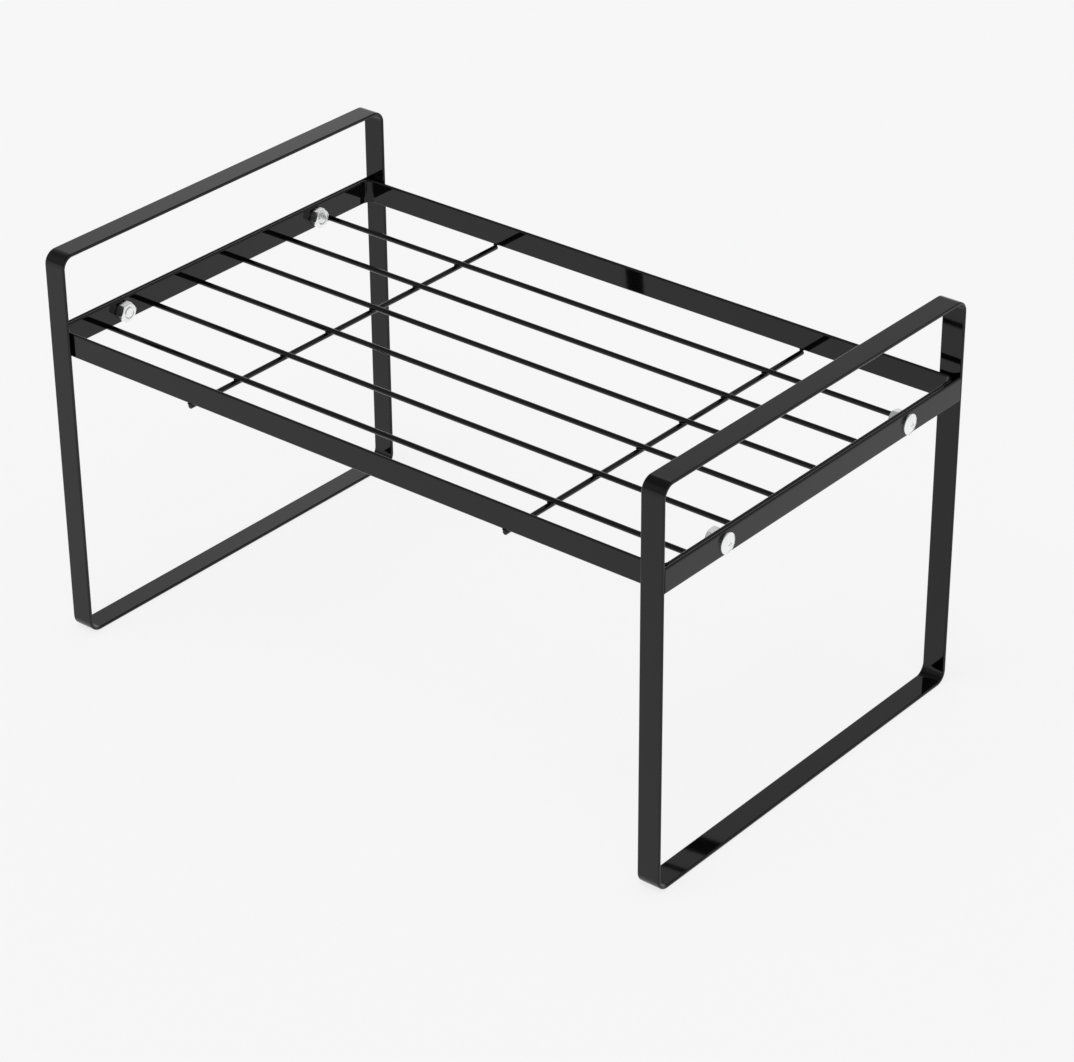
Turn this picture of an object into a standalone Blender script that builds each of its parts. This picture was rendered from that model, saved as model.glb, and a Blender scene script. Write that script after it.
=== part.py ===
"""Countertop organizer rack: a wire shelf bolted between two bent steel loops.

Each end of the rack is a flat strip bent into a closed rounded rectangle, with a
crossbar between its posts. The shelf is a strip rim with round wires across it.
Two bolts and nuts at each end clamp the rim to the crossbar.

Metres, +Z up. The origin is the centre of the footprint, on the surface the rack
stands on. +X runs along the rack to its right end, and -Y is its front.
"""

import math

import bmesh
import bpy

# Overall size
LENGTH = 0.330
DEPTH = 0.205
HEIGHT = 0.185

# Flat strip of the side loops and crossbars
STRIP_THICKNESS = 0.0015
LOOP_WIDTH = 0.0111
LOOP_BEND_RADIUS = 0.006
CROSSBAR_THICKNESS = 0.0015
EDGE_ROUND = 0.0004

# Shelf
SHELF_TOP = 0.149
RAIL_HEIGHT = 0.0112
RIM_THICKNESS = 0.0015
RIM_BEND_RADIUS = 0.005
RIM_POST_CLEARANCE = 0.0005
WIRE_DIAMETER = 0.0024
LONG_WIRE_COUNT = 6
LONG_WIRE_INSET = 0.027
CROSS_WIRE_INSET = 0.0764
CROSS_WIRE_END_INSET = 0.0005

# M5 bolts and nuts
BOLT_DIAMETER = 0.005
BOLT_LENGTH = 0.008
HEAD_DIAMETER = 0.009
HEAD_EDGE_HEIGHT = 0.0008
HEAD_HEIGHT = 0.002
RECESS_WIDTH = 0.0011
RECESS_SPAN = 0.0042
RECESS_DEPTH = 0.0014
NUT_ACROSS_FLATS = 0.008
NUT_HEIGHT = 0.004
NUT_FACE_DIAMETER = 0.0077
NUT_CHAMFER_ANGLE = math.radians(30)
THREAD_CHAMFER = 0.0004

# Clearances
CONTACT_GAP = 0.0003
HOLE_CLEARANCE = 0.0003
NUT_WIRE_CLEARANCE = 0.0037
CUT_MARGIN = 0.001

# Facets
BEND_STEPS = 8
HOLE_SIDES = 24
TURN_STEPS = 24
DOME_STEPS = 4
SMOOTH_ANGLE = math.radians(30)

# Places that follow from the sizes above
RAIL_MID = SHELF_TOP - RAIL_HEIGHT / 2
RAIL_BOTTOM = SHELF_TOP - RAIL_HEIGHT
END_FACE = LENGTH / 2
POST_INNER_FACE = DEPTH / 2 - STRIP_THICKNESS
CROSSBAR_INNER_FACE = END_FACE - CROSSBAR_THICKNESS
RIM_HALF_LENGTH = CROSSBAR_INNER_FACE - CONTACT_GAP
RIM_HALF_DEPTH = POST_INNER_FACE - RIM_POST_CLEARANCE
RIM_INNER_END = RIM_HALF_LENGTH - RIM_THICKNESS
RIM_INNER_SIDE = RIM_HALF_DEPTH - RIM_THICKNESS
WIRE_RADIUS = WIRE_DIAMETER / 2
OUTER_WIRE_ROW = RIM_INNER_SIDE - LONG_WIRE_INSET
LONG_WIRE_SPACING = 2 * OUTER_WIRE_ROW / (LONG_WIRE_COUNT - 1)
CROSS_WIRE_ROW = RIM_INNER_END - CROSS_WIRE_INSET
HOLE_RADIUS = BOLT_DIAMETER / 2 + HOLE_CLEARANCE
NUT_CORNER_RADIUS = NUT_ACROSS_FLATS / math.sqrt(3)
BOLT_ROW = OUTER_WIRE_ROW - WIRE_RADIUS - NUT_WIRE_CLEARANCE - NUT_CORNER_RADIUS


def clear_scene():
    for obj in list(bpy.data.objects):
        bpy.data.objects.remove(obj, do_unlink=True)


def make_collection(name):
    collection = bpy.data.collections.new(name)
    bpy.context.scene.collection.children.link(collection)
    return collection


def make_material(name, colour, roughness, metallic):
    material = bpy.data.materials.new(name)
    material.use_nodes = True
    shader = material.node_tree.nodes["Principled BSDF"]
    shader.inputs["Base Color"].default_value = (*colour, 1.0)
    shader.inputs["Roughness"].default_value = roughness
    shader.inputs["Metallic"].default_value = metallic
    return material


clear_scene()
PARTS = make_collection("countertop_organizer_rack")
CUTTERS = make_collection("cutters")
BLACK_PAINT = make_material("gloss_black_paint", (0.006, 0.006, 0.006), 0.12, 0.0)
CHROME = make_material("bright_chrome", (0.85, 0.86, 0.87), 0.08, 1.0)


def place(name, data, material, parent=None, location=(0, 0, 0), rotation=(0, 0, 0)):
    """Put a mesh or curve in the model as the named piece."""
    obj = bpy.data.objects.new(name, data)
    if material.name not in data.materials:
        data.materials.append(material)
    obj.parent = parent
    obj.location = location
    obj.rotation_euler = rotation
    PARTS.objects.link(obj)
    return obj


def make_empty(name, location=(0, 0, 0), rotation=(0, 0, 0)):
    empty = bpy.data.objects.new(name, None)
    empty.location = location
    empty.rotation_euler = rotation
    PARTS.objects.link(empty)
    return empty


def make_cutter(name, mesh, parent=None, location=(0, 0, 0), rotation=(0, 0, 0)):
    cutter = bpy.data.objects.new(name, mesh)
    cutter.parent = parent
    cutter.location = location
    cutter.rotation_euler = rotation
    cutter.hide_render = True
    cutter.display_type = "WIRE"
    CUTTERS.objects.link(cutter)
    return cutter


def box_mesh(name, size):
    mesh = bpy.data.meshes.new(name)
    bm = bmesh.new()
    bmesh.ops.create_cube(bm, size=1.0)
    bmesh.ops.scale(bm, vec=size, verts=bm.verts)
    bm.to_mesh(mesh)
    bm.free()
    return mesh


def prism_mesh(name, radius, depth, sides):
    """A cylinder or hexagonal prism along Z, centred on its origin."""
    mesh = bpy.data.meshes.new(name)
    bm = bmesh.new()
    bmesh.ops.create_cone(bm, cap_ends=True, segments=sides, radius1=radius, radius2=radius, depth=depth)
    bm.to_mesh(mesh)
    bm.free()
    return mesh


def evaluated_mesh(obj):
    """The mesh of an object after its modifiers, with coincident points welded."""
    graph = bpy.context.evaluated_depsgraph_get()
    mesh = bpy.data.meshes.new_from_object(obj.evaluated_get(graph))
    bm = bmesh.new()
    bm.from_mesh(mesh)
    bmesh.ops.remove_doubles(bm, verts=bm.verts, dist=1e-6)
    bm.to_mesh(mesh)
    bm.free()
    return mesh


def finished_mesh(blank, cutters=()):
    """Bake a blank's modifiers into one mesh, and clear the blank and its cutters away."""
    bpy.context.view_layer.update()
    mesh = evaluated_mesh(blank)
    for obj in [blank, *cutters]:
        bpy.data.objects.remove(obj, do_unlink=True)
    mesh.shade_smooth()
    mesh.set_sharp_from_angle(angle=SMOOTH_ANGLE)
    return mesh


def make_blank(name, data):
    """An object to work on with modifiers, that is not itself a piece."""
    blank = bpy.data.objects.new(name, data)
    CUTTERS.objects.link(blank)
    return blank


def add_bevel(obj):
    bevel = obj.modifiers.new("rounded_edges", "BEVEL")
    bevel.width = EDGE_ROUND
    bevel.segments = 2
    bevel.limit_method = "ANGLE"
    bevel.angle_limit = SMOOTH_ANGLE


def add_boolean(obj, operation, cutter):
    boolean = obj.modifiers.new(operation.lower() + "_" + cutter.name, "BOOLEAN")
    boolean.operation = operation
    boolean.solver = "EXACT"
    boolean.object = cutter


def rounded_rectangle(half_width, half_height, radius):
    """Points round a rectangle with its corners rounded, counter-clockwise."""
    points = []
    corners = ((1, 1, 0), (-1, 1, 90), (-1, -1, 180), (1, -1, 270))
    for side_x, side_y, start in corners:
        centre_x = side_x * (half_width - radius)
        centre_y = side_y * (half_height - radius)
        for step in range(BEND_STEPS + 1):
            angle = math.radians(start + 90 * step / BEND_STEPS)
            points.append((centre_x + radius * math.cos(angle), centre_y + radius * math.sin(angle)))
    return points


def strip_ring_mesh(name, half_width, half_height, radius, strip_width, thickness):
    """A flat strip on edge, bent round in its local XY plane into a closed ring."""
    curve = bpy.data.curves.new(name, "CURVE")
    curve.dimensions = "2D"
    curve.fill_mode = "NONE"
    curve.extrude = strip_width / 2
    spline = curve.splines.new("POLY")
    outline = rounded_rectangle(half_width, half_height, radius)
    spline.points.add(len(outline) - 1)
    for point, (x, y) in zip(spline.points, outline):
        point.co = (x, y, 0.0, 1.0)
    spline.use_cyclic_u = True

    band = finished_mesh(make_blank(name, curve))
    bpy.data.curves.remove(curve)
    ring = make_blank(name, band)
    wall = ring.modifiers.new("strip_wall", "SOLIDIFY")
    wall.thickness = thickness
    wall.offset = -1.0
    wall.use_even_offset = True
    add_bevel(ring)
    return finished_mesh(ring)


def turned_mesh(name, profile):
    """A profile of (radius, height) points turned once round Z."""
    mesh = bpy.data.meshes.new(name)
    bm = bmesh.new()
    verts = [bm.verts.new((radius, 0.0, height)) for radius, height in profile]
    for first, second in zip(verts, verts[1:]):
        bm.edges.new((first, second))
    bm.to_mesh(mesh)
    bm.free()
    blank = make_blank(name, mesh)
    screw = blank.modifiers.new("turned", "SCREW")
    screw.axis = "Z"
    screw.angle = math.tau
    screw.steps = TURN_STEPS
    screw.render_steps = TURN_STEPS
    screw.use_merge_vertices = True
    screw.merge_threshold = 1e-6
    return finished_mesh(blank)


def wire_curve(name, length):
    """A straight round wire along local X, centred on its origin."""
    curve = bpy.data.curves.new(name, "CURVE")
    curve.dimensions = "3D"
    curve.bevel_depth = WIRE_RADIUS
    curve.bevel_resolution = 4
    curve.use_fill_caps = True
    spline = curve.splines.new("POLY")
    spline.points.add(1)
    spline.points[0].co = (-length / 2, 0.0, 0.0, 1.0)
    spline.points[1].co = (length / 2, 0.0, 0.0, 1.0)
    return curve


def bolt_hole_cutter(name, parent):
    """Two cylinders through the crossbar and rim at one end of the rack."""
    reach = 2 * (CROSSBAR_THICKNESS + CONTACT_GAP + RIM_THICKNESS + CUT_MARGIN)
    mesh = bpy.data.meshes.new(name)
    bm = bmesh.new()
    for side in (-1, 1):
        hole = bmesh.ops.create_cone(
            bm, cap_ends=True, segments=HOLE_SIDES, radius1=HOLE_RADIUS, radius2=HOLE_RADIUS, depth=reach)
        bmesh.ops.translate(bm, vec=(0.0, side * BOLT_ROW, 0.0), verts=hole["verts"])
    bm.to_mesh(mesh)
    bm.free()
    return make_cutter(name, mesh, parent, (CROSSBAR_INNER_FACE, 0.0, RAIL_MID), (0, math.radians(90), 0))


def bolt_mesh():
    """A domed bolt, its shank down local Z and the seat of its head at the origin."""
    head_radius = HEAD_DIAMETER / 2
    shank_radius = BOLT_DIAMETER / 2
    crown = HEAD_HEIGHT - HEAD_EDGE_HEIGHT
    sphere = (head_radius ** 2 + crown ** 2) / (2 * crown)
    spread = math.asin(head_radius / sphere)
    profile = []
    for step in range(DOME_STEPS + 1):
        angle = spread * step / DOME_STEPS
        height = HEAD_HEIGHT - sphere * (1 - math.cos(angle))
        profile.append((sphere * math.sin(angle), height))
    profile += [
        (head_radius, 0.0),
        (shank_radius, 0.0),
        (shank_radius, THREAD_CHAMFER - BOLT_LENGTH),
        (shank_radius - THREAD_CHAMFER, -BOLT_LENGTH),
        (0.0, -BOLT_LENGTH),
    ]
    blank = make_blank("bolt_blank", turned_mesh("bolt_turned", profile))
    arms = []
    for turn in (0, 90):
        arm = box_mesh("recess_arm", (RECESS_SPAN, RECESS_WIDTH, 2 * RECESS_DEPTH))
        turned = (0, 0, math.radians(turn))
        cutter = make_cutter("recess_arm_%d" % turn, arm, None, (0, 0, HEAD_HEIGHT), turned)
        add_boolean(blank, "DIFFERENCE", cutter)
        arms.append(cutter)
    return finished_mesh(blank, arms)


def nut_mesh():
    """A hexagon nut along local Z, centred on its origin, chamfered on both faces."""
    half = NUT_HEIGHT / 2
    face_radius = NUT_FACE_DIAMETER / 2
    reach = NUT_CORNER_RADIUS + CUT_MARGIN
    drop = (reach - face_radius) * math.tan(NUT_CHAMFER_ANGLE)
    chamfer_profile = [
        (0.0, half),
        (face_radius, half),
        (reach, half - drop),
        (reach, drop - half),
        (face_radius, -half),
        (0.0, -half),
    ]
    mouth_radius = HOLE_RADIUS + 2 * THREAD_CHAMFER
    bore_profile = [
        (0.0, half + THREAD_CHAMFER),
        (mouth_radius, half + THREAD_CHAMFER),
        (HOLE_RADIUS, half - THREAD_CHAMFER),
        (HOLE_RADIUS, THREAD_CHAMFER - half),
        (mouth_radius, -half - THREAD_CHAMFER),
        (0.0, -half - THREAD_CHAMFER),
    ]
    blank = make_blank("nut_blank", prism_mesh("nut_prism", NUT_CORNER_RADIUS, NUT_HEIGHT, 6))
    chamfer = make_cutter("nut_chamfer", turned_mesh("nut_chamfer", chamfer_profile))
    bore = make_cutter("nut_bore", turned_mesh("nut_bore", bore_profile))
    add_boolean(blank, "INTERSECT", chamfer)
    add_boolean(blank, "DIFFERENCE", bore)
    return finished_mesh(blank, [chamfer, bore])


def build_side(side_name, turn, bolt, nut):
    """One end of the rack, modelled at +X and turned about Z into its place."""
    mount = make_empty(side_name + "_end", (0, 0, 0), (0, 0, turn))

    loop = strip_ring_mesh(
        side_name + "_side_frame", DEPTH / 2, HEIGHT / 2, LOOP_BEND_RADIUS, LOOP_WIDTH, STRIP_THICKNESS)
    upright = (math.radians(90), 0, math.radians(90))
    loop_centre = (END_FACE - LOOP_WIDTH / 2, 0, HEIGHT / 2)
    place(side_name + "_side_frame", loop, BLACK_PAINT, mount, loop_centre, upright)

    crossbar_length = 2 * (POST_INNER_FACE - CONTACT_GAP)
    bar = box_mesh(side_name + "_crossbar", (CROSSBAR_THICKNESS, crossbar_length, RAIL_HEIGHT))
    bar_centre = (END_FACE - CROSSBAR_THICKNESS / 2, 0, RAIL_MID)
    crossbar = place(side_name + "_crossbar", bar, BLACK_PAINT, mount, bar_centre)
    add_bevel(crossbar)
    holes = bolt_hole_cutter(side_name + "_bolt_holes", mount)
    add_boolean(crossbar, "DIFFERENCE", holes)

    head_seat = END_FACE + CONTACT_GAP
    nut_centre = RIM_INNER_END - CONTACT_GAP - NUT_HEIGHT / 2
    facing_out = (0, math.radians(90), 0)
    for row in (-BOLT_ROW, BOLT_ROW):
        where = "front" if row * math.cos(turn) < 0 else "back"
        tag = "%s_%s" % (side_name, where)
        place(tag + "_bolt", bolt, CHROME, mount, (head_seat, row, RAIL_MID), facing_out)
        place(tag + "_nut", nut, CHROME, mount, (nut_centre, row, RAIL_MID), facing_out)
    return holes


def build_shelf(hole_cutters):
    """The strip rim, and the wires that lie across it."""
    shelf = make_empty("shelf", (0, 0, RAIL_BOTTOM))
    rim_mesh = strip_ring_mesh(
        "shelf_rim", RIM_HALF_LENGTH, RIM_HALF_DEPTH, RIM_BEND_RADIUS, RAIL_HEIGHT, RIM_THICKNESS)
    rim = place("shelf_rim", rim_mesh, BLACK_PAINT, shelf, (0, 0, RAIL_HEIGHT / 2))
    for cutter in hole_cutters:
        add_boolean(rim, "DIFFERENCE", cutter)

    long_wire_length = 2 * (RIM_INNER_END - CONTACT_GAP)
    for index in range(LONG_WIRE_COUNT):
        row = index * LONG_WIRE_SPACING - OUTER_WIRE_ROW
        name = "long_wire_%d" % (index + 1)
        place(name, wire_curve(name, long_wire_length), BLACK_PAINT, shelf, (0, row, WIRE_RADIUS))

    cross_wire_length = 2 * (RIM_HALF_DEPTH - CROSS_WIRE_END_INSET)
    for name, side in (("left_cross_wire", -1), ("right_cross_wire", 1)):
        under = (side * CROSS_WIRE_ROW, 0, -CONTACT_GAP - WIRE_RADIUS)
        across = (0, 0, math.radians(90))
        place(name, wire_curve(name, cross_wire_length), BLACK_PAINT, shelf, under, across)


bolt_shape = bolt_mesh()
nut_shape = nut_mesh()
right_holes = build_side("right", 0.0, bolt_shape, nut_shape)
left_holes = build_side("left", math.radians(180), bolt_shape, nut_shape)
build_shelf([left_holes, right_holes])
bpy.context.view_layer.update()
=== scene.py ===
# %% [markdown]
# # A countertop rack of bent strip and wire
# The rack raises a wire shelf over a worktop. Each end is a loop of flat steel strip, a leg and a
# handle in one. The shelf between them is a rim of the same strip, set on edge, with round wires
# across it. Two bolts and nuts at each end clamp the rim to a crossbar inside the loop.
#
# The construction arrives packed, as a fixed frame in metres, with +Z up and -Y to the front.
# This lesson keeps every piece where the frame has it, and builds the surface that the eye meets:
# rounded strip edges, welds, threads, gloss enamel and bright plating.

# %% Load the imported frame
import math

import bmesh
import bpy
from mathutils import Matrix, Vector, noise


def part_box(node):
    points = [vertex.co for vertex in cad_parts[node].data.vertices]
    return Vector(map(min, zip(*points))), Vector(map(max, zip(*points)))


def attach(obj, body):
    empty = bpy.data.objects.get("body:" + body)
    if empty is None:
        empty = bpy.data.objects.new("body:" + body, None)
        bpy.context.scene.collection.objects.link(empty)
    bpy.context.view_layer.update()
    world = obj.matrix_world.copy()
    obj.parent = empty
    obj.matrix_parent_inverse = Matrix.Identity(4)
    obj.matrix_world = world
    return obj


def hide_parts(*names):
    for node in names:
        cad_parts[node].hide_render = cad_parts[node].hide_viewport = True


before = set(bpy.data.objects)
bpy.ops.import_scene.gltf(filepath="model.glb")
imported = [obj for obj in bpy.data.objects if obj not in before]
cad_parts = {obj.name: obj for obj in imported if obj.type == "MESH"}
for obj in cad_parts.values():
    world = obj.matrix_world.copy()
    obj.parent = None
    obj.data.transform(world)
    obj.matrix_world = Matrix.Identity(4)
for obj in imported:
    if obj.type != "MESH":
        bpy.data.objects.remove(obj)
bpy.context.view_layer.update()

print("nodes:", ", ".join(sorted(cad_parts)))

# %% [markdown]
# ## Sizes come from the frame
# A size that the frame already holds is read from a node's box and never typed again, so the new
# surfaces can't drift from the construction. Only what a box can't tell is written here: the
# gauge of the strip, the radii of its bends and the numbers of the wires.

# %% Read the sizes
MM = 0.001
STRIP_GAUGE = 1.5 * MM
LOOP_BEND_RADIUS = 6 * MM
RIM_BEND_RADIUS = 5 * MM
SIDES = ("left", "right")
LONG_WIRES = range(1, 7)

loop_low, loop_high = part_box("right_side_frame")
rim_low, rim_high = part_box("shelf_rim")
long_low, long_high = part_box("long_wire_1")
bar_outer_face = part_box("right_crossbar")[1].x
rim_inner_end = rim_high.x - STRIP_GAUGE
wire_radius = (long_high.z - long_low.z) / 2
print("loop %.1f x %.1f mm" % ((loop_high.y - loop_low.y) / MM, (loop_high.z - loop_low.z) / MM))
print("rim %.1f x %.1f mm" % ((rim_high.x - rim_low.x) / MM, (rim_high.y - rim_low.y) / MM))
print("%d long wires, %.1f mm thick" % (len(LONG_WIRES), 2 * wire_radius / MM))

# %% [markdown]
# ## The camera
# A camera is a place, a direction and a lens. The direction is easiest to think of as an azimuth
# round the object and an elevation above the horizon, so the script turns those two angles into
# the camera's own right, up and back axes. The lens is in millimetres, for a sensor 36 mm wide.
# One this long keeps the rack's edges close to parallel, which is how a product is usually drawn.

# %% Place the camera
CAMERA_PLACE = Vector((0.8617, -1.0259, 0.8241))
CAMERA_AZIMUTH = math.radians(39.38)
CAMERA_ELEVATION = math.radians(29.63)
CAMERA_ROLL = math.radians(0.40)
CAMERA_LENS = 119.17
SENSOR_WIDTH = 36.0


def camera_turn(azimuth, elevation, roll):
    """The rotation of a camera that looks back at the object from these angles."""
    flat = Vector((math.sin(azimuth), -math.cos(azimuth), 0))
    back = flat * math.cos(elevation) + Vector((0, 0, math.sin(elevation)))
    right = Vector((math.cos(azimuth), math.sin(azimuth), 0))
    up = back.cross(right)
    rolled_right = right * math.cos(roll) - up * math.sin(roll)
    rolled_up = right * math.sin(roll) + up * math.cos(roll)
    return Matrix((rolled_right, rolled_up, back)).transposed().to_4x4()


lens = bpy.data.cameras.new("camera")
lens.lens = CAMERA_LENS
lens.sensor_width = SENSOR_WIDTH
lens.sensor_fit = "HORIZONTAL"
camera = bpy.data.objects.new("camera", lens)
camera.matrix_world = Matrix.Translation(CAMERA_PLACE) @ camera_turn(
    CAMERA_AZIMUTH, CAMERA_ELEVATION, CAMERA_ROLL)
bpy.context.scene.collection.objects.link(camera)
bpy.context.scene.camera = camera
print("camera %.2f m from the origin" % CAMERA_PLACE.length)

# %% [markdown]
# ## Two small helpers for materials
# Colours are easier to name as the hex values of a paint card, but shaders work in linear light,
# so one function turns the first into the second. A second function adds a node, sets what it is
# given and joins its inputs, which keeps each material readable from top to bottom. A Mix node
# has a set of sockets for each kind of data, so the colour ones are given names here.

# %% Colour and node helpers
MIX_SHARE = 0
MIX_FIRST = 6
MIX_SECOND = 7
MIX_RESULT = 2


def linear(hex_colour):
    """An sRGB hex colour as linear red, green, blue and alpha."""
    channels = []
    for start in (1, 3, 5):
        level = int(hex_colour[start:start + 2], 16) / 255
        channels.append(level / 12.92 if level <= 0.04045 else ((level + 0.055) / 1.055) ** 2.4)
    return (*channels, 1.0)


def add_node(tree, kind, settings=None, links=None):
    """Add a node, set its properties and inputs by name, and link sockets into its inputs."""
    node = tree.nodes.new(kind)
    for name, value in (settings or {}).items():
        if isinstance(name, str) and hasattr(node, name):
            setattr(node, name, value)
        else:
            node.inputs[name].default_value = value
    for name, socket in (links or {}).items():
        tree.links.new(socket, node.inputs[name])
    return node


def new_material(name):
    """A material with an empty node tree."""
    material = bpy.data.materials.new(name)
    material.use_nodes = True
    material.node_tree.nodes.clear()
    return material, material.node_tree


print("mid grey #808080 is %.3f in linear light" % linear("#808080")[0])

# %% [markdown]
# ## The studio
# Gloss black has almost no colour of its own: nearly all that the eye gets from it is what it
# mirrors. So the room matters more than the paint. This one has a dim ceiling, which leaves the
# tops of the round wires nearly black, and walls of middling light. A low bright band stands
# round the back and the sides, and a tall soft panel at the back left gives the left handle its
# sheen. At the horizon the whole room is as pale as the floor, so the two meet without a line.
#
# Cards and lamps could build such a room. A world shader needs only a few soft steps, and as it
# depends on direction alone, it is the same from wherever the object is seen. Each part of the
# room is first a share from 0 to 1: a smooth step in height, in depth, or across the panel. The
# shares are then combined into one.

# %% Shape the room
FRONT_FROM = 0.0
FRONT_BY = -0.5
CEILING_FROM = math.sin(math.radians(35))
CEILING_BY = math.sin(math.radians(53))
BAND_FULL_BELOW = math.sin(math.radians(9))
BAND_GONE_ABOVE = math.sin(math.radians(21))
HORIZON_FULL_BELOW = math.sin(math.radians(1.5))
HORIZON_GONE_ABOVE = math.sin(math.radians(9))
PANEL_AZIMUTH = math.radians(41.8)
PANEL_ACROSS = Vector((math.cos(PANEL_AZIMUTH), math.sin(PANEL_AZIMUTH), 0))
PANEL_LEFT_GONE = -0.16
PANEL_LEFT_FULL = -0.01
PANEL_RIGHT_FULL = 0.01
PANEL_RIGHT_GONE = 0.065

world = bpy.data.worlds.new("studio_room")
world.use_nodes = True
bpy.context.scene.world = world
room = world.node_tree
room.nodes.clear()
direction = add_node(room, "ShaderNodeTexCoord").outputs["Generated"]
way = add_node(room, "ShaderNodeSeparateXYZ", links={"Vector": direction})
across_panel = add_node(
    room, "ShaderNodeVectorMath", {"operation": "DOT_PRODUCT", 1: PANEL_ACROSS}, {0: direction})

steps = {}
for name, socket, gone, full in (
        ("not_front", way.outputs["Y"], FRONT_BY, FRONT_FROM),
        ("ceiling", way.outputs["Z"], CEILING_FROM, CEILING_BY),
        ("band", way.outputs["Z"], BAND_GONE_ABOVE, BAND_FULL_BELOW),
        ("horizon", way.outputs["Z"], HORIZON_GONE_ABOVE, HORIZON_FULL_BELOW),
        ("panel_left", across_panel.outputs["Value"], PANEL_LEFT_GONE, PANEL_LEFT_FULL),
        ("panel_right", across_panel.outputs["Value"], PANEL_RIGHT_GONE, PANEL_RIGHT_FULL)):
    step = add_node(
        room, "ShaderNodeMapRange",
        {"interpolation_type": "SMOOTHSTEP", "From Min": gone, "From Max": full}, {"Value": socket})
    steps[name] = step.outputs["Result"]

panel = add_node(
    room, "ShaderNodeMath", {"operation": "MULTIPLY"},
    {0: steps["panel_left"], 1: steps["panel_right"]})
bright = add_node(
    room, "ShaderNodeMath", {"operation": "MAXIMUM"},
    {0: steps["band"], 1: panel.outputs[0]})
bright_behind = add_node(
    room, "ShaderNodeMath", {"operation": "MULTIPLY"},
    {0: bright.outputs[0], 1: steps["not_front"]})
pale_share = add_node(
    room, "ShaderNodeMath", {"operation": "MAXIMUM"},
    {0: bright_behind.outputs[0], 1: steps["horizon"]})
print("the room has", len(steps), "soft steps")

# %% [markdown]
# The shares then lay four greys over each other: the front wall, the back wall, what is pale, and
# the ceiling. A background of strength 1 shows each grey as it is written.

# %% Colour the room
ROOM_PALE = linear("#f7f7f7")
ROOM_BACK = linear("#c6c6c6")
ROOM_FRONT = linear("#b4b4b4")
ROOM_CEILING = linear("#808082")

walls = add_node(
    room, "ShaderNodeMix", {"data_type": "RGBA", MIX_FIRST: ROOM_FRONT, MIX_SECOND: ROOM_BACK},
    {MIX_SHARE: steps["not_front"]})
lit_walls = add_node(
    room, "ShaderNodeMix", {"data_type": "RGBA", MIX_SECOND: ROOM_PALE},
    {MIX_SHARE: pale_share.outputs[0], MIX_FIRST: walls.outputs[MIX_RESULT]})
room_colour = add_node(
    room, "ShaderNodeMix", {"data_type": "RGBA", MIX_SECOND: ROOM_CEILING},
    {MIX_SHARE: steps["ceiling"], MIX_FIRST: lit_walls.outputs[MIX_RESULT]})
room_light = add_node(
    room, "ShaderNodeBackground", {"Strength": 1.0}, {"Color": room_colour.outputs[MIX_RESULT]})
add_node(room, "ShaderNodeOutputWorld", links={"Surface": room_light.outputs["Background"]})
print("room: ceiling %.2f, front %.2f, back %.2f, pale parts %.2f"
      % (ROOM_CEILING[0], ROOM_FRONT[0], ROOM_BACK[0], ROOM_PALE[0]))

# %% [markdown]
# One very soft lamp lights the rack from above and a little to its front. It is a sun lamp
# as wide as an overcast patch of sky, so the floor is lit evenly. The room gives a white floor
# about four tenths of full light and the lamp the rest, so a colour renders about as it is
# written. A sun of strength s at an angle a from overhead gives a white floor s cos a / pi. The
# lamp is kept out of mirrors, as a crossed filter does in a studio: what gloss and chrome mirror
# is the room and the floor.

# %% Hang the soft lamp
LAMP_TOWARDS = Vector((0.0, -0.25, 0.97)).normalized()
LAMP_WIDTH = math.radians(55)
LAMP_SHARE = 0.6

lamp = bpy.data.lights.new("soft_overhead_lamp", "SUN")
lamp.angle = LAMP_WIDTH
lamp.energy = LAMP_SHARE * math.pi / LAMP_TOWARDS.z
lamp_holder = bpy.data.objects.new("soft_overhead_lamp", lamp)
lamp_holder.rotation_euler = LAMP_TOWARDS.to_track_quat("Z", "Y").to_euler()
lamp_holder.visible_glossy = False
bpy.context.scene.collection.objects.link(lamp_holder)
print("lamp strength %.2f" % lamp.energy)

# %% [markdown]
# The floor is a wide sheet of matt paper. It has to look evenly pale right to its edge, and still
# catch the rack's shadow. So what the eye, a mirror or a glass sees of it is part glow, part lit
# paper, and to every other ray it is plain paper that bounces light back up.

# %% Lay the paper floor
FLOOR_HALF_WIDTH = 6.0
PAPER_COLOUR = ROOM_PALE
GLOW_SHARE = 0.85


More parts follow.
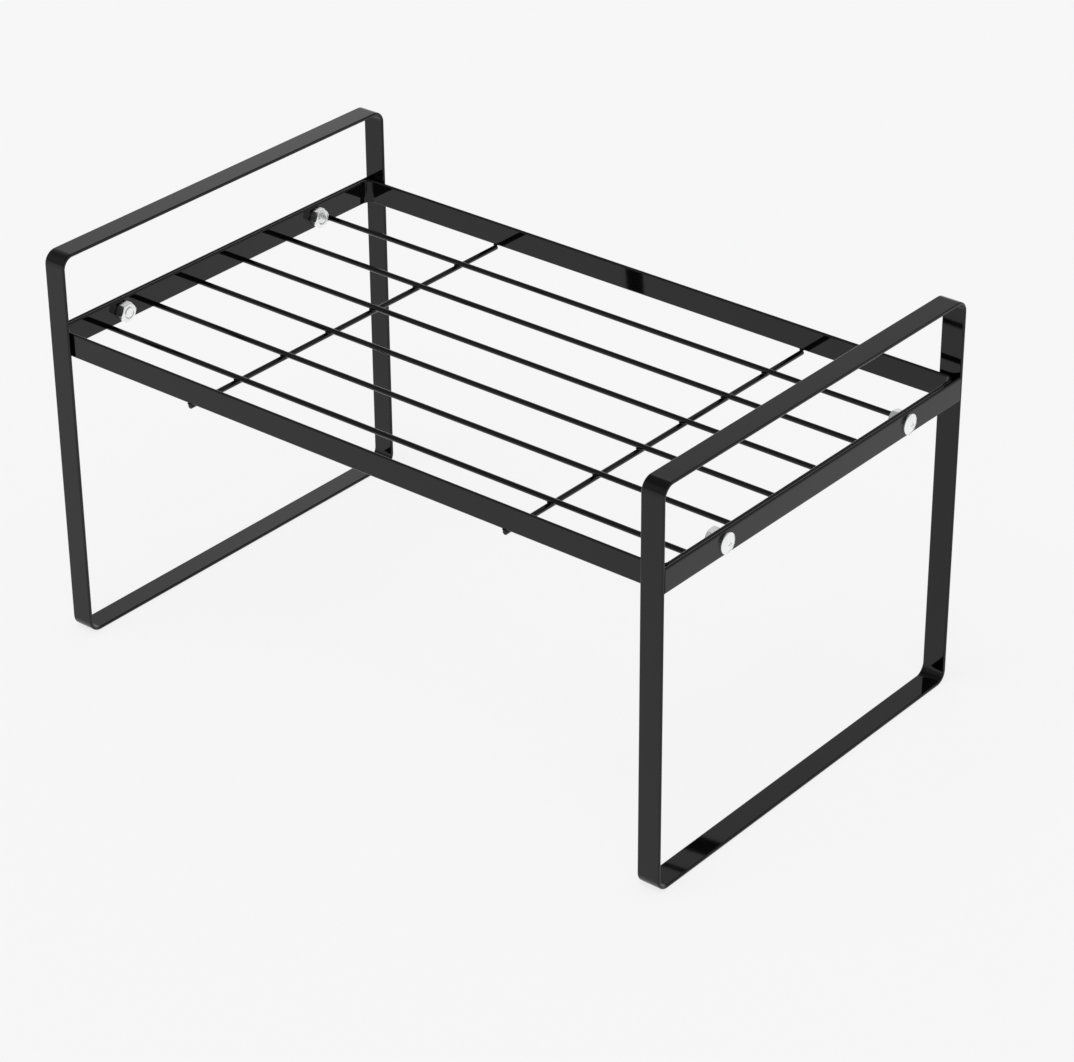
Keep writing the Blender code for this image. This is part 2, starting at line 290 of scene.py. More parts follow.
def paper_floor():
    """A wide sheet of matt paper, just under the feet."""
    material, tree = new_material("matt_white_paper")
    ray = add_node(tree, "ShaderNodeLightPath")
    seen = add_node(
        tree, "ShaderNodeMath", {"operation": "MAXIMUM"},
        {0: ray.outputs["Is Camera Ray"], 1: ray.outputs["Is Glossy Ray"]})
    seen_or_through = add_node(
        tree, "ShaderNodeMath", {"operation": "MAXIMUM"},
        {0: seen.outputs[0], 1: ray.outputs["Is Transmission Ray"]})
    share = add_node(
        tree, "ShaderNodeMath", {"operation": "MULTIPLY", 1: GLOW_SHARE},
        {0: seen_or_through.outputs[0]})
    paper = add_node(tree, "ShaderNodeBsdfDiffuse", {"Color": PAPER_COLOUR})
    glow = add_node(tree, "ShaderNodeEmission", {"Color": PAPER_COLOUR, "Strength": 1.0})
    both = add_node(
        tree, "ShaderNodeMixShader",
        links={0: share.outputs[0], 1: paper.outputs["BSDF"], 2: glow.outputs["Emission"]})
    add_node(tree, "ShaderNodeOutputMaterial", links={"Surface": both.outputs["Shader"]})

    sheet = bmesh.new()
    bmesh.ops.create_grid(sheet, x_segments=8, y_segments=8, size=FLOOR_HALF_WIDTH)
    mesh = bpy.data.meshes.new("paper_floor")
    sheet.to_mesh(mesh)
    sheet.free()
    mesh.materials.append(material)
    floor = bpy.data.objects.new("paper_floor", mesh)
    bpy.context.scene.collection.objects.link(floor)
    return floor


paper_floor()
scene = bpy.context.scene
scene.view_settings.view_transform = "Standard"
print("floor %.0f m wide" % (2 * FLOOR_HALF_WIDTH))

# %% [markdown]
# ## The black finish: stoved gloss enamel
# The strip and wire are mild steel under a stoved enamel, a paint baked until it flows out flat
# and cures hard. To the eye it is a thin clear-topped black: the colour is near #050505, and
# the rest is a mirror image of the room at the few percent that a resin reflects, more at a
# glancing angle. A clear coat over a black base could draw it. One layer is enough here, because
# the black below returns next to nothing.
#
# What keeps it from looking computed is small, and three helpers add a part each. The first is
# the colour: the paint pools a shade paler or deeper in places, and along the rolled edges a
# paler tone is painted in as a highlight.

# %% Tint the enamel
POOLING_WAVE = 14 * MM
# How much of the painted edge highlight is mixed in over the rolled edges.
EDGE_HIGHLIGHT_SHARE = 0.5


def enamel_colour(tree, spot):
    """Near black, in soft patches, with a painted highlight over the strip's edges."""
    pooling = add_node(
        tree, "ShaderNodeTexNoise", {"Scale": 1 / POOLING_WAVE, "Detail": 3.0}, {"Vector": spot})
    depth = add_node(
        tree, "ShaderNodeMix",
        {"data_type": "RGBA", MIX_FIRST: linear("#030303"), MIX_SECOND: linear("#070708")},
        {MIX_SHARE: pooling.outputs["Fac"]})
    # Along the rolled edges a paler tone is mixed in: a painted highlight.
    edge = add_node(tree, "ShaderNodeAttribute", {"attribute_name": "edge"})
    painted_edge_highlight = add_node(
        tree, "ShaderNodeMath", {"operation": "MULTIPLY", 1: EDGE_HIGHLIGHT_SHARE},
        {0: edge.outputs["Fac"]})
    with_edge_highlight = add_node(
        tree, "ShaderNodeMix", {"data_type": "RGBA", MIX_SECOND: linear("#191a1b")},
        {MIX_SHARE: painted_edge_highlight.outputs[0], MIX_FIRST: depth.outputs[MIX_RESULT]})
    return with_edge_highlight.outputs[MIX_RESULT]


print("enamel pools in patches of about %.0f mm" % (POOLING_WAVE / MM))

# %% [markdown]
# The second part is the sheen. The enamel leaves the oven very smooth. Hands dull it a little,
# most on the handles, so its roughness follows a noise the size of a fingertip and grows
# from the shelf up.

# %% Dull the enamel where hands go
ENAMEL_ROUGHNESS = 0.035
TOUCHED_ROUGHNESS = 0.085
TOUCH_MARK_WAVE = 9 * MM
TOUCH_FROM = 0.15
TOUCH_FULL = 0.75
TOUCH_AT_SHELF = 0.35


def enamel_roughness(tree, spot):
    """A low roughness that rises in touch marks, most of all on the handles."""
    marks = add_node(
        tree, "ShaderNodeTexNoise", {"Scale": 1 / TOUCH_MARK_WAVE, "Detail": 5.0, "Roughness": 0.6},
        {"Vector": spot})
    at = add_node(tree, "ShaderNodeSeparateXYZ", links={"Vector": spot})
    handle = add_node(
        tree, "ShaderNodeMapRange",
        {"From Min": rim_high.z, "From Max": loop_high.z, "To Min": TOUCH_AT_SHELF, "To Max": 1.0},
        {"Value": at.outputs["Z"]})
    touched = add_node(
        tree, "ShaderNodeMath", {"operation": "MULTIPLY"},
        {0: marks.outputs["Fac"], 1: handle.outputs["Result"]})
    roughness = add_node(
        tree, "ShaderNodeMapRange",
        {"From Min": TOUCH_FROM, "From Max": TOUCH_FULL,
         "To Min": ENAMEL_ROUGHNESS, "To Max": TOUCHED_ROUGHNESS},
        {"Value": touched.outputs[0]})
    return roughness.outputs["Result"]


print("enamel roughness %.3f to %.3f" % (ENAMEL_ROUGHNESS, TOUCHED_ROUGHNESS))

# %% [markdown]
# The third part is the relief. Stoved paint flows out into a faint orange peel, waves of about
# 1.8 mm and well under a micrometre high, and a few dust grains are baked in. A texture of random
# cells gives the grains their places, one at the heart of a cell, and four cells in five stay
# clean. Both are far too shallow to change an outline, so a bump is the right tool.

# %% Raise the orange peel and the dust
ORANGE_PEEL_WAVE = 1.8 * MM
ORANGE_PEEL_HEIGHT = 0.0004 * MM
DUST_SPACING = 3.2 * MM
DUST_RADIUS = 0.11 * MM
DUST_HEIGHT = 0.02 * MM
CLEAN_CELLS = 0.8


def enamel_relief(tree, spot):
    """The normal of a surface with orange peel and a few baked-in grains."""
    peel = add_node(
        tree, "ShaderNodeTexNoise", {"Scale": 1 / ORANGE_PEEL_WAVE, "Detail": 1.0},
        {"Vector": spot})
    peel_bump = add_node(
        tree, "ShaderNodeBump", {"Strength": 1.0, "Distance": ORANGE_PEEL_HEIGHT},
        {"Height": peel.outputs["Fac"]})
    cells = add_node(
        tree, "ShaderNodeTexVoronoi", {"Scale": 1 / DUST_SPACING, "Randomness": 1.0},
        {"Vector": spot})
    grain = add_node(
        tree, "ShaderNodeMapRange",
        {"interpolation_type": "SMOOTHSTEP", "From Min": DUST_RADIUS / DUST_SPACING,
         "From Max": 0.0, "To Min": 0.0, "To Max": 1.0},
        {"Value": cells.outputs["Distance"]})
    chance = add_node(
        tree, "ShaderNodeMath", {"operation": "GREATER_THAN", 1: CLEAN_CELLS},
        {0: cells.outputs["Color"]})
    dust = add_node(
        tree, "ShaderNodeMath", {"operation": "MULTIPLY"},
        {0: grain.outputs["Result"], 1: chance.outputs[0]})
    dust_bump = add_node(
        tree, "ShaderNodeBump", {"Strength": 1.0, "Distance": DUST_HEIGHT},
        {"Height": dust.outputs[0], "Normal": peel_bump.outputs["Normal"]})
    return dust_bump.outputs["Normal"]


print("orange peel %.1f mm wide, dust every %.1f mm" % (ORANGE_PEEL_WAVE / MM, DUST_SPACING / MM))

# %% [markdown]
# The three parts meet in one shader. It is no metal, though it lies on one: the light never gets
# through to the steel. A resin's IOR is about 1.5, and 1.39 fits this one.

# %% Mix the gloss enamel
ENAMEL_IOR = 1.39


def gloss_enamel():
    """Stoved black enamel over steel strip and wire."""
    material, tree = new_material("stoved_gloss_black_enamel")
    spot = add_node(tree, "ShaderNodeTexCoord").outputs["Object"]
    shader = add_node(
        tree, "ShaderNodeBsdfPrincipled", {"IOR": ENAMEL_IOR, "Metallic": 0.0},
        {"Base Color": enamel_colour(tree, spot), "Roughness": enamel_roughness(tree, spot),
         "Normal": enamel_relief(tree, spot)})
    add_node(tree, "ShaderNodeOutputMaterial", links={"Surface": shader.outputs["BSDF"]})
    return material


black_enamel = gloss_enamel()
print(black_enamel.name, "has", len(black_enamel.node_tree.nodes), "nodes")

# %% [markdown]
# ## The bright finish: chrome over tumbled steel
# Bolts and nuts are tumbled in a drum and then plated. Plate is a true metal, so its colour is
# the tint of its mirror and its IOR stays at the default. It is thin and follows the steel below
# it, which leaves it satin and not a mirror: a very fine grain from tumbling, and soft patches a
# little duller than the rest. The grain of real tumbling, about 0.05 mm, is too fine to show, so
# it is drawn at 0.25 mm.

# %% Plate the fasteners
PLATE_ROUGHNESS = 0.22
DULL_ROUGHNESS = 0.32
DULL_PATCH_WAVE = 2.2 * MM
TUMBLED_GRAIN = 0.25 * MM
TUMBLED_HEIGHT = 0.0003 * MM
DULL_FROM = 0.3
DULL_FULL = 0.75


def bright_plate():
    """Bright chrome plate over tumbled steel."""
    material, tree = new_material("bright_chrome_plate")
    spot = add_node(tree, "ShaderNodeTexCoord").outputs["Object"]
    patches = add_node(
        tree, "ShaderNodeTexNoise", {"Scale": 1 / DULL_PATCH_WAVE, "Detail": 3.0}, {"Vector": spot})
    tint = add_node(
        tree, "ShaderNodeMix",
        {"data_type": "RGBA", MIX_FIRST: linear("#fcfcfc"), MIX_SECOND: linear("#f4f5f5")},
        {MIX_SHARE: patches.outputs["Fac"]})
    roughness = add_node(
        tree, "ShaderNodeMapRange",
        {"From Min": DULL_FROM, "From Max": DULL_FULL,
         "To Min": PLATE_ROUGHNESS, "To Max": DULL_ROUGHNESS},
        {"Value": patches.outputs["Fac"]})
    tumbled = add_node(
        tree, "ShaderNodeTexNoise", {"Scale": 1 / TUMBLED_GRAIN, "Detail": 2.0}, {"Vector": spot})
    bump = add_node(
        tree, "ShaderNodeBump", {"Strength": 1.0, "Distance": TUMBLED_HEIGHT},
        {"Height": tumbled.outputs["Fac"]})
    shader = add_node(
        tree, "ShaderNodeBsdfPrincipled", {"Metallic": 1.0},
        {"Base Color": tint.outputs[MIX_RESULT], "Roughness": roughness.outputs["Result"],
         "Normal": bump.outputs["Normal"]})
    add_node(tree, "ShaderNodeOutputMaterial", links={"Surface": shader.outputs["BSDF"]})
    return material


chrome_plate = bright_plate()
print(chrome_plate.name, "has", len(chrome_plate.node_tree.nodes), "nodes")

# %% [markdown]
# ## Rings of points
# Everything on the rack is a strip, a wire or a turned part, so nearly all of it can be made of
# rings of points. Curves with a bevel could draw the strips and wires too, but a ring can also
# swell in a bend, flare at a weld or climb as a thread. One helper skins a row of rings, open or
# closed. The other turns a profile round an axis, and takes a relief for threads and weld collars.

# %% Skin and turn


def skin(bm, rings, closed):
    """Join rings of points with quads. An open row of rings gets a cap at each end."""
    count = len(rings[0])
    pairs = list(zip(rings, rings[1:]))
    if closed:
        pairs.append((rings[-1], rings[0]))
    for first, second in pairs:
        for i in range(count):
            j = (i + 1) % count
            bm.faces.new((first[i], first[j], second[j], second[i]))
    if not closed:
        bm.faces.new(list(reversed(rings[0])))
        bm.faces.new(rings[-1])


def lathe(bm, rows, sides, place=Matrix.Identity(4), relief=None):
    """Turn (height, radius) rows round local Z. Relief adds to the radius by height and angle."""
    rings = []
    for height, radius in rows:
        ring = []
        for side in range(sides):
            angle = math.tau * side / sides
            grown = radius + (relief(height, angle) if relief else 0.0)
            point = Vector((grown * math.cos(angle), grown * math.sin(angle), height))
            ring.append(bm.verts.new(place @ point))
        rings.append(ring)
    skin(bm, rings, closed=False)


print("skin and lathe are ready")

# %% [markdown]
# A mesh is finished with smooth shading, and edges over 35 degrees are kept sharp. Holes, hollows
# and softened edges come from modifiers. They are applied at once, so what is left is one plain
# mesh, and the cutters are gone.

# %% Finish a mesh
SHARP_ANGLE = math.radians(35)


def finished(name, bm):
    """A mesh from a bmesh, smooth, with its sharp edges marked."""
    bmesh.ops.recalc_face_normals(bm, faces=bm.faces)
    mesh = bpy.data.meshes.new(name)
    bm.to_mesh(mesh)
    bm.free()
    mesh.shade_smooth()
    mesh.set_sharp_from_angle(angle=SHARP_ANGLE)
    return mesh


def worked(name, mesh, modifiers):
    """A mesh after a list of modifiers, each (type, settings), with cutters taken away again."""
    blank = bpy.data.objects.new(name, mesh)
    bpy.context.scene.collection.objects.link(blank)
    cutters = []
    for kind, settings in modifiers:
        modifier = blank.modifiers.new(kind.lower(), kind)
        for key, value in settings.items():
            if key == "object":
                value = bpy.data.objects.new(name + "_cutter", value)
                bpy.context.scene.collection.objects.link(value)
                cutters.append(value)
            setattr(modifier, key, value)
    bpy.context.view_layer.update()
    graph = bpy.context.evaluated_depsgraph_get()
    result = bpy.data.meshes.new_from_object(blank.evaluated_get(graph))
    for obj in [blank, *cutters]:
        bpy.data.objects.remove(obj, do_unlink=True)
    result.name = name
    result.shade_smooth()
    result.set_sharp_from_angle(angle=SHARP_ANGLE)
    return result


print("edges over %.0f degrees stay sharp" % math.degrees(SHARP_ANGLE))

# %% [markdown]
# A piece of the rack is a mesh that stands in for one node of the frame. It rides on the rack's
# one body and takes its finish as its one material. Its normals are weighted by the size of the
# faces, which keeps broad flats truly flat in a mirror finish, right up to their rounded edges.

# %% Show a piece


def show(name, mesh, finish, slot, *nodes):
    """Show a mesh as a piece of the rack, in place of its nodes."""
    mesh.materials.clear()
    mesh.materials.append(finish)
    piece = bpy.data.objects.new(name, mesh)
    bpy.context.scene.collection.objects.link(piece)
    weighted = piece.modifiers.new("flat_faces_stay_flat", "WEIGHTED_NORMAL")
    weighted.keep_sharp = True
    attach(piece, "root")
    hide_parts(*nodes)
    return piece


# %% [markdown]
# ## Strip
# Strip this narrow is rolled flat from round rod, so its edges stay round and are not sawn
# square. A bevel on a square bar could come near, but in gloss black an edge is mostly the line
# that it mirrors, and only a true half circle draws that line. The section is therefore two flat
# faces joined by half circles. Each point on a half circle carries a number called edge, which
# the enamel reads to paint a paler highlight along the edge.

# %% Draw the strip's section
EDGE_STEPS = 12


def strip_section(width, gauge):
    """Points round a strip's section as (depth below the outer face, place across, edge)."""
    points = []
    radius = gauge / 2
    flat = width / 2 - radius
    for hand in (1, -1):
        for step in range(EDGE_STEPS + 1):
            angle = math.pi * step / EDGE_STEPS
            points.append((
                radius * (1 - hand * math.cos(angle)),
                hand * (flat + radius * math.sin(angle)),
                math.sin(angle)))
    return points


print("section of", len(strip_section(loop_high.x - loop_low.x, STRIP_GAUGE)), "points")

# %% [markdown]
# A strip that closes on itself, such as a loop or the rim, is that section carried round a
# rounded rectangle. Each station on the way gives a place on the outer face, the way out from it,
# and how far into a bend it is. Where strip is bent, the metal on the inside of the bend is
# squeezed out sideways, so there the section swells by a tenth of a millimetre.

# %% Carry the section round
BEND_STEPS = 20
BEND_SWELL = 0.10 * MM


def rounded_path(half_width, half_height, radius):
    """Stations round a rounded rectangle: (place, way out, how far into a bend)."""
    stations = []
    for side_u, side_v, start in ((1, 1, 0), (-1, 1, 90), (-1, -1, 180), (1, -1, 270)):
        centre = Vector((side_u * (half_width - radius), side_v * (half_height - radius)))
        for step in range(BEND_STEPS + 1):
            angle = math.radians(start + 90 * step / BEND_STEPS)
            out = Vector((math.cos(angle), math.sin(angle)))
            stations.append((centre + radius * out, out, math.sin(math.pi * step / BEND_STEPS)))
    return stations


def strip_rings(bm, stations, section, gauge, place):
    """Rings of the section at each station. Place turns (u, v, across) into the rack's frame."""
    edge_layer = bm.verts.layers.float.new("edge")
    rings = []
    for spot, out, bend in stations:
        ring = []
        for depth, across, edge in section:
            swell = BEND_SWELL * bend * depth / gauge
            shifted = spot - out * depth
            side = across + math.copysign(swell, across)
            vert = bm.verts.new(place @ Vector((shifted.x, shifted.y, side)))
            vert[edge_layer] = edge
            ring.append(vert)
        rings.append(ring)
    return rings


def axes(u, v, across, origin):
    """The matrix that takes (u, v, across) to the rack's frame."""
    turn = Matrix((Vector(u), Vector(v), Vector(across))).transposed().to_4x4()
    return Matrix.Translation(origin) @ turn


print("each bend takes", BEND_STEPS + 1, "rings")

# %% [markdown]
# ## The two end loops
# Each loop is one strip bent round four corners and closed, 11.1 mm wide and 1.5 mm thick. Its
# top run is the handle and its bottom run is the foot. Both are made by the same lines, once for
# each end, because the ends are alike.

# %% Bend the end loops


def build_loop(side):
    """The leg, foot and handle of one end, as one closed strip."""
    node = side + "_side_frame"
    low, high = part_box(node)
    size = high - low
    bm = bmesh.new()
    stations = rounded_path(size.y / 2, size.z / 2, LOOP_BEND_RADIUS)
    place = axes((0, 1, 0), (0, 0, 1), (1, 0, 0), (low + high) / 2)
    section = strip_section(size.x, STRIP_GAUGE)
    skin(bm, strip_rings(bm, stations, section, STRIP_GAUGE, place), closed=True)
    return show(side + "_loop_strip", finished(side + "_loop_strip", bm),
                black_enamel, "gloss_black_paint", node)


for side in SIDES:
    loop = build_loop(side)
    print(loop.name, len(loop.data.polygons), "faces")

# %% [markdown]
# ## The shelf rim
# The rim is a strip of the same gauge on edge, bent into a closed rectangle that just fits
# between the posts. It is drilled near each corner for the bolts. The holes are cut after the
# strip is made, as a drill would: a round mesh is put through the strip and then taken away from
# it with a Boolean modifier, so the flat stays flat right up to the hole.

# %% Bend and drill the rim
BOLT_RADIUS = 2.5 * MM
HOLE_CLEARANCE = 0.3 * MM
HOLE_SIDES = 48

bolt_low, bolt_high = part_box("right_front_bolt")
head_diameter = bolt_high.z - bolt_low.z
bolt_length = bolt_high.x - bolt_low.x
hole_radius = BOLT_RADIUS + HOLE_CLEARANCE


def drill(side):
    """A mesh through both bolt holes at one end."""
    bm = bmesh.new()
    for where in ("front", "back"):
        low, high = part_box("%s_%s_bolt" % (side, where))
        centre = (low + high) / 2
        place = Matrix.Translation(centre) @ Matrix.Rotation(math.radians(90), 4, "Y")
        lathe(bm, [(-bolt_length, hole_radius), (bolt_length, hole_radius)], HOLE_SIDES, place)
    return finished(side + "_drill", bm)


def build_rim():
    """The rim as one closed strip with its four holes."""
    size = rim_high - rim_low
    bm = bmesh.new()
    stations = rounded_path(size.x / 2, size.y / 2, RIM_BEND_RADIUS)
    place = axes((1, 0, 0), (0, 1, 0), (0, 0, 1), (rim_low + rim_high) / 2)
    section = strip_section(size.z, STRIP_GAUGE)
    skin(bm, strip_rings(bm, stations, section, STRIP_GAUGE, place), closed=True)
    holes = [("BOOLEAN", {"operation": "DIFFERENCE", "object": drill(side)}) for side in SIDES]
    drilled = worked("rim_strip", finished("rim_strip", bm), holes)
    return show("rim_strip", drilled, black_enamel, "gloss_black_paint", "shelf_rim")


rim = build_rim()
print(rim.name, len(rim.data.polygons), "faces")

# %% [markdown]
# ## The crossbars
# A crossbar is a straight piece of strip between the two posts of a loop, welded at both ends and
# drilled to match the rim. Its inner face lies against the rim. The weld shows as a small hollow
# fillet in the inner corner: a curve that sweeps from the bar to the post, with the faint ripples
# that a weld pool leaves as it freezes. A bump could draw the ripples, but the fillet itself
# fills the corner, so both are made in the mesh. The bead is thinner where it starts and stops.

# %% Lay a fillet weld
WELD_LEG = 1.2 * MM
WELD_STEPS = 6
WELD_RIPPLE = 0.08 * MM
WELD_RIPPLE_SPACING = 0.9 * MM
WELD_SLICES = 48
WELD_TIP_SHARE = 0.35
WELD_TIP_POWER = 6


def fillet_weld(bm, corner, along_bar, along_post):
    """A hollow fillet up a vertical inner corner, between the bar's face and the post's face."""
    rings = []
    height = rim_high.z - rim_low.z - STRIP_GAUGE
    for row in range(WELD_SLICES + 1):
        up = height * (row / WELD_SLICES - 0.5)
        taper = math.sqrt(max(0.0, 1 - (2 * abs(up) / height) ** WELD_TIP_POWER))
        ripple = WELD_RIPPLE * math.cos(math.tau * up / WELD_RIPPLE_SPACING)
        leg = (WELD_LEG + ripple) * (WELD_TIP_SHARE + (1 - WELD_TIP_SHARE) * taper)
        centre = corner + leg * (along_bar + along_post)
        ring = [corner]
        for step in range(WELD_STEPS + 1):
            angle = math.radians(90 * step / WELD_STEPS)
            ring.append(centre - leg * (math.sin(angle) * along_bar + math.cos(angle) * along_post))
        rings.append([bm.verts.new(point + Vector((0, 0, up))) for point in ring])
    skin(bm, rings, closed=False)


print("fillet of %.1f mm, a ripple every %.1f mm" % (WELD_LEG / MM, WELD_RIPPLE_SPACING / MM))

# %% [markdown]
# The bar is the strip's section between two rings, one at each post. It reaches in to the rim,
# but for a hairline that keeps the two faces from lying in each other. The drill that cut the rim
# cuts the bar too, so the holes are sure to meet.

# %% Weld in the crossbars
HAIRLINE = 0.02 * MM


def build_crossbar(side):
    """The drilled bar at one end, with its two fillets."""
    node = side + "_crossbar"
    low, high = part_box(node)
    outward = math.copysign(1, low.x)
    outer_face = outward * bar_outer_face
    gauge = bar_outer_face - rim_high.x - HAIRLINE
    post_face = loop_high.y - STRIP_GAUGE
    middle = (low.z + high.z) / 2
    bm = bmesh.new()
    place = axes((0, 1, 0), (outward, 0, 0), (0, 0, 1), (0, 0, middle))
    ends = [(Vector((v, bar_outer_face)), Vector((0, 1)), 0.0) for v in (-post_face, post_face)]
    section = strip_section(high.z - low.z, gauge)
    skin(bm, strip_rings(bm, ends, section, gauge, place), closed=False)
    bar = worked(node, finished(node, bm), [
        ("BOOLEAN", {"operation": "DIFFERENCE", "object": drill(side)})])

    bm = bmesh.new()
    bm.from_mesh(bar)
    for hand in (-1, 1):
        corner = Vector((outer_face - outward * gauge, hand * post_face, middle))
        fillet_weld(bm, corner, Vector((0, -hand, 0)), Vector((-outward, 0, 0)))
    return show(side + "_crossbar_strip", finished(side + "_crossbar_strip", bm),
                black_enamel, "gloss_black_paint", node)


for side in SIDES:
    bar = build_crossbar(side)
    print(bar.name, len(bar.data.polygons), "faces")

# %% [markdown]
# ## The shelf wires
# Six long wires run from end to end inside the rim, butted against it and resistance welded. The
# current softens each end and the squeeze pushes out a small collar. A bevelled curve would make
# the wire but not the collar, so each wire is turned: a profile that flares towards the rim, with
# a slight unevenness round it. The collar stays above the rim's lower edge, because the wires are
# welded flush with it.

# %% Weld in the long wires
WIRE_SIDES = 24
COLLAR_REACH = 0.6 * MM
COLLAR_RISE = 0.07 * MM
COLLAR_STEPS = 4
COLLAR_UNEVENNESS = 0.18
COLLAR_LUMPS = 1.7
COLLAR_SEED_STEP = 3.1


def collar_relief(half_length, seed):
    """The flare of a weld collar at both ends of a wire, by height and angle."""
    def relief(height, angle):
        """The rise of the collar at one point."""
        into = max(0.0, 1 - (half_length - abs(height)) / COLLAR_REACH)
        spot = Vector((math.cos(angle), math.sin(angle), seed + math.copysign(1, height)))
        return COLLAR_RISE * into ** 2 * (1 + COLLAR_UNEVENNESS * noise.noise(COLLAR_LUMPS * spot))
    return relief


def build_long_wire(number):
    """One long wire with a collar at each end."""
    node = "long_wire_%d" % number
    low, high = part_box(node)
    centre = (low + high) / 2
    half = rim_inner_end
    offsets = [COLLAR_REACH * step / COLLAR_STEPS for step in range(COLLAR_STEPS + 1)]
    heights = [offset - half for offset in offsets]
    heights += [-height for height in reversed(heights)]
    bm = bmesh.new()
    place = Matrix.Translation((0, centre.y, centre.z)) @ Matrix.Rotation(math.radians(90), 4, "Y")
    rows = [(height, wire_radius) for height in heights]
    lathe(bm, rows, WIRE_SIDES, place, collar_relief(half, COLLAR_SEED_STEP * number))
    for vert in bm.verts:
        vert.co.z = max(vert.co.z, low.z)
    return show("shelf_wire_%d" % number, finished("shelf_wire_%d" % number, bm),
                black_enamel, "gloss_black_paint", node)


for number in LONG_WIRES:
    wire = build_long_wire(number)
print(len(LONG_WIRES), "long wires,", len(wire.data.polygons), "faces each")

# %% [markdown]
# Two cross wires tie the long ones together from below. They pass under the rim and stop just
# short of its outer face, where their sheared ends show as small stubs. At each crossing a weld
# nugget joins the two wires, and another joins the wire to the rim's edge. A nugget is metal that
# was squeezed out between them, so it is a flattened bead, and no two are quite alike.

# %% Make a weld nugget
NUGGET_RADIUS = 1.15 * MM
NUGGET_HEIGHT = 0.6 * MM
NUGGET_SIDES = 16
NUGGET_STEPS = 6
NUGGET_UNEVENNESS = 0.22 * MM


def weld_nugget(bm, spot):
    """A flattened, slightly uneven bead centred on a weld."""
    rows = []
    for step in range(1, NUGGET_STEPS):
        angle = math.pi * step / NUGGET_STEPS
        rows.append((-NUGGET_HEIGHT * math.cos(angle), NUGGET_RADIUS * math.sin(angle)))

    def uneven(height, angle):
        """How far the bead swells or shrinks at one point."""
        at = Vector((math.cos(angle), math.sin(angle), height / NUGGET_HEIGHT))
        return NUGGET_UNEVENNESS * noise.noise(at + spot / MM)

    lathe(bm, rows, NUGGET_SIDES, Matrix.Translation(spot), uneven)


print("nugget %.1f mm wide, %.1f mm high" % (2 * NUGGET_RADIUS / MM, 2 * NUGGET_HEIGHT / MM))

# %% [markdown]
# The wire is turned like the long ones. Its ends are rounded by the shears that cut it, and the
# nuggets join its mesh at the height where it touches the wires and the rim above it.

# %% Weld on the cross wires
STUB_ROUND = 0.35 * MM
STUB_STEPS = 4


def build_cross_wire(side):
    """One cross wire with its nuggets."""
    node = side + "_cross_wire"
    low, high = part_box(node)
    centre = (low + high) / 2
    half = (high.y - low.y) / 2
    rows = []
    for step in range(STUB_STEPS + 1):
        inset = STUB_ROUND * step / STUB_STEPS
        drop = STUB_ROUND - math.sqrt(STUB_ROUND ** 2 - (STUB_ROUND - inset) ** 2)
        rows.append((inset - half, wire_radius - drop))
    rows += [(-height, radius) for height, radius in reversed(rows)]
    bm = bmesh.new()
    place = Matrix.Translation(centre) @ Matrix.Rotation(math.radians(-90), 4, "X")
    lathe(bm, rows, WIRE_SIDES, place)
    contact = (high.z + rim_low.z) / 2
    for number in LONG_WIRES:
        wire_low, wire_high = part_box("long_wire_%d" % number)
        weld_nugget(bm, Vector((centre.x, (wire_low.y + wire_high.y) / 2, contact)))
    for rim_line in (rim_low.y + STRIP_GAUGE / 2, rim_high.y - STRIP_GAUGE / 2):
        weld_nugget(bm, Vector((centre.x, rim_line, contact)))
    return show(side + "_tie_wire", finished(side + "_tie_wire", bm),
                black_enamel, "gloss_black_paint", node)


for side in SIDES:
    wire = build_cross_wire(side)
    print(wire.name, len(wire.data.polygons), "faces")

# %% [markdown]
# ## The bolts
# An M5 bolt with a low domed head, pressed with a cross recess for a driver. Head and shank are
# made apart. The head is a turned dome, with the recess cut by two tapered bars and every edge
# then softened as plating does. The dome is the cap of a sphere: a cap of radius r and height h
# has a sphere of radius (r * r + h * h) / 2h. The head seats on the crossbar, so its wall reaches
# down to the bar's face.

# %% Press the bolt head
HEAD_SIDES = 64
HEAD_WALL = 0.8 * MM
HEAD_HEIGHT = 2.0 * MM
DOME_STEPS = 12
RECESS_SPAN = 3.6 * MM
RECESS_WIDTH = 0.8 * MM
RECESS_DEPTH = 0.7 * MM
RECESS_TAPER = 0.5
PLATED_EDGE = 0.08 * MM
soft_edges = ("BEVEL", {"width": PLATED_EDGE, "segments": 3, "limit_method": "ANGLE",
                        "angle_limit": SHARP_ANGLE})


def recess_bar(turn):
    """One tapered arm pair of the cross recess, sunk into the top of the head."""
    bm = bmesh.new()
    bmesh.ops.create_cube(bm, size=1.0)
    for vert in bm.verts:
        taper = RECESS_TAPER if vert.co.z < 0 else 1.0
        vert.co.x *= RECESS_SPAN * taper
        vert.co.y *= RECESS_WIDTH * taper
        vert.co.z *= 2 * RECESS_DEPTH
    bmesh.ops.rotate(bm, matrix=Matrix.Rotation(turn, 3, "Z"), verts=bm.verts)
    bmesh.ops.translate(bm, vec=(0, 0, HEAD_HEIGHT), verts=bm.verts)
    return finished("recess_bar", bm)


def bolt_head(seat):
    """A domed head over local Z, its underside at the seat."""
    radius = head_diameter / 2
    crown = HEAD_HEIGHT - HEAD_WALL
    sphere = (radius ** 2 + crown ** 2) / (2 * crown)
    spread = math.asin(radius / sphere)
    rows = [(seat, radius)]
    for step in range(DOME_STEPS):
        angle = spread * (1 - step / DOME_STEPS)
        rows.append((HEAD_HEIGHT - sphere * (1 - math.cos(angle)), sphere * math.sin(angle)))
    bm = bmesh.new()
    lathe(bm, rows, HEAD_SIDES)
    cuts = [("BOOLEAN", {"operation": "DIFFERENCE", "object": recess_bar(math.radians(turn))})
            for turn in (0, 90)]
    return worked("bolt_head", finished("bolt_head", bm), [*cuts, soft_edges])


